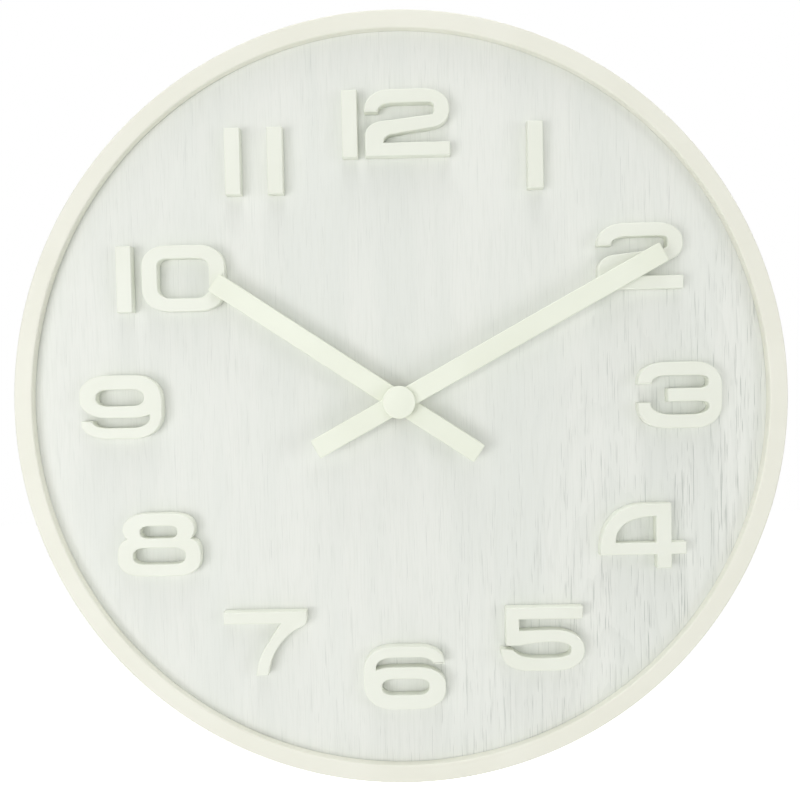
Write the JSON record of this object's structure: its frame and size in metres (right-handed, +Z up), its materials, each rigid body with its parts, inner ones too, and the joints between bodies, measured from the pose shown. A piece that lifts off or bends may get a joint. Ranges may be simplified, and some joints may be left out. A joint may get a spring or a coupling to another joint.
{
  "type": "wall clock",
  "caption": "Large round analogue wall clock with a deep pale rim, white-washed wood dial, raised open block numerals, plain bar hands and a battery movement behind the dial.",
  "frame": {"origin": "centre of the steel hanger plate's rear face, behind the twelve and just above its keyhole slot, in the wall plane", "axes": "+Z up as the clock hangs, +X to the right seen from the front, +Y from the dial towards the wall; the wall is the plane y = 0"},
  "size_m": [0.53, 0.0498, 0.53],
  "materials": {
    "rim_lacquer": "sprayed off-white lacquer over turned fibreboard, satin",
    "numeral_lacquer": "sprayed off-white lacquer over cut fibreboard, satin, edges eased",
    "hand_lacquer": "off-white moulded plastic, satin",
    "limed_veneer": "white-washed wood veneer, matt, with fine dark pores",
    "fibreboard": "raw medium-density fibreboard",
    "pale_wood": "planed softwood",
    "zinc_steel": "zinc-plated pressed steel",
    "spring_steel": "nickel-plated spring strip",
    "bright_steel": "drawn steel can, bright",
    "brass": "turned brass",
    "silicon_steel": "laminated electrical sheet, varnished",
    "case_plastic": "black moulded plastic, fine grained",
    "white_acetal": "natural acetal, moulded",
    "green_acetal": "tinted acetal, moulded",
    "circuit_laminate": "bare paper laminate",
    "epoxy_black": "black epoxy blob",
    "enamelled_copper": "close-wound enamelled copper wire",
    "rotor_magnet": "bonded magnet on a moulded pinion",
    "gasket_rubber": "moulded rubber",
    "cell_can": "plain wrapped cylinder cell, unmarked"
  },
  "bodies": {
    "frame": {"rim": "rim_lacquer", "dial_board": "fibreboard", "dial_veneer": "limed_veneer", "hanging_block": "pale_wood", "hanger_plate": "zinc_steel", "hanger_screw_left": "zinc_steel", "hanger_screw_right": "zinc_steel", "glue_block_left": "pale_wood", "glue_block_right": "pale_wood", "glue_block_bottom": "pale_wood", "numeral_1": "numeral_lacquer", "numeral_2": "numeral_lacquer", "numeral_3": "numeral_lacquer", "numeral_4": "numeral_lacquer", "numeral_5": "numeral_lacquer", "numeral_6": "numeral_lacquer", "numeral_7": "numeral_lacquer", "numeral_8": "numeral_lacquer", "numeral_9": "numeral_lacquer", "numeral_10_tens": "numeral_lacquer", "numeral_10_units": "numeral_lacquer", "numeral_11_tens": "numeral_lacquer", "numeral_11_units": "numeral_lacquer", "numeral_12_tens": "numeral_lacquer", "numeral_12_units": "numeral_lacquer", "movement_front_case": "case_plastic", "movement_rear_case": "case_plastic", "train_plate": "case_plastic", "circuit_board": "circuit_laminate", "driver_chip": "epoxy_black", "quartz_crystal": "bright_steel", "coil_bobbin": "white_acetal", "coil_winding": "enamelled_copper", "coil_core": "silicon_steel", "stator": "silicon_steel", "contact_positive": "spring_steel", "contact_negative": "spring_steel", "gasket": "gasket_rubber", "washer": "brass", "bush_nut": "brass"},
    "minute_group": {"minute_hand": "hand_lacquer", "minute_hand_bush": "brass", "minute_boss": "hand_lacquer", "minute_pinion": "green_acetal"},
    "hour_group": {"hour_hand": "hand_lacquer", "hour_hand_bush": "brass", "hour_wheel": "white_acetal"},
    "motion_group": {"motion_wheel": "white_acetal"},
    "setting_group": {"setting_knob": "white_acetal"},
    "rotor_group": {"rotor": "rotor_magnet"},
    "intermediate_group": {"intermediate_wheel": "white_acetal"},
    "seconds_group": {"seconds_wheel": "white_acetal"},
    "third_group": {"third_wheel": "green_acetal"},
    "centre_group": {"centre_wheel": "white_acetal"},
    "battery_group": {"battery": "cell_can"}
  },
  "joints": [
    {"name": "minute_turn", "type": "hinge", "parent": "frame", "child": "minute_group", "pos_m": [0, 0, -0.245], "axis": [0, 1, 0], "continuous": true},
    {"name": "hour_turn", "type": "hinge", "parent": "frame", "child": "hour_group", "pos_m": [0, 0, -0.245], "axis": [0, 1, 0], "continuous": true},
    {"name": "motion_turn", "type": "hinge", "parent": "frame", "child": "motion_group", "pos_m": [-0.01039, 0, -0.239], "axis": [0, 1, 0], "continuous": true},
    {"name": "setting_turn", "type": "hinge", "parent": "frame", "child": "setting_group", "pos_m": [-0.02167, 0, -0.2431], "axis": [0, 1, 0], "continuous": true},
    {"name": "rotor_turn", "type": "hinge", "parent": "frame", "child": "rotor_group", "pos_m": [0.0174, 0, -0.24869], "axis": [0, 1, 0], "continuous": true},
    {"name": "intermediate_turn", "type": "hinge", "parent": "frame", "child": "intermediate_group", "pos_m": [0.01064, 0, -0.24688], "axis": [0, 1, 0], "continuous": true},
    {"name": "seconds_turn", "type": "hinge", "parent": "frame", "child": "seconds_group", "pos_m": [0, 0, -0.245], "axis": [0, 1, 0], "continuous": true},
    {"name": "third_turn", "type": "hinge", "parent": "frame", "child": "third_group", "pos_m": [0, 0, -0.2342], "axis": [0, 1, 0], "continuous": true},
    {"name": "centre_turn", "type": "hinge", "parent": "frame", "child": "centre_group", "pos_m": [0, 0, -0.245], "axis": [0, 1, 0], "continuous": true},
    {"name": "battery_slide", "type": "slide", "parent": "frame", "child": "battery_group", "axis": [0, 1, 0], "range_m": [0, 0.05]}
  ],
  "couplings": [
    {"joint": "hour_turn", "follows": "minute_turn", "ratio": 0.083333},
    {"joint": "motion_turn", "follows": "minute_turn", "ratio": -0.33333},
    {"joint": "setting_turn", "follows": "minute_turn", "ratio": 1},
    {"joint": "intermediate_turn", "follows": "rotor_turn", "ratio": -0.16667},
    {"joint": "seconds_turn", "follows": "rotor_turn", "ratio": 0.033333},
    {"joint": "third_turn", "follows": "rotor_turn", "ratio": -0.0044444},
    {"joint": "centre_turn", "follows": "rotor_turn", "ratio": 0.00055556}
  ]
}
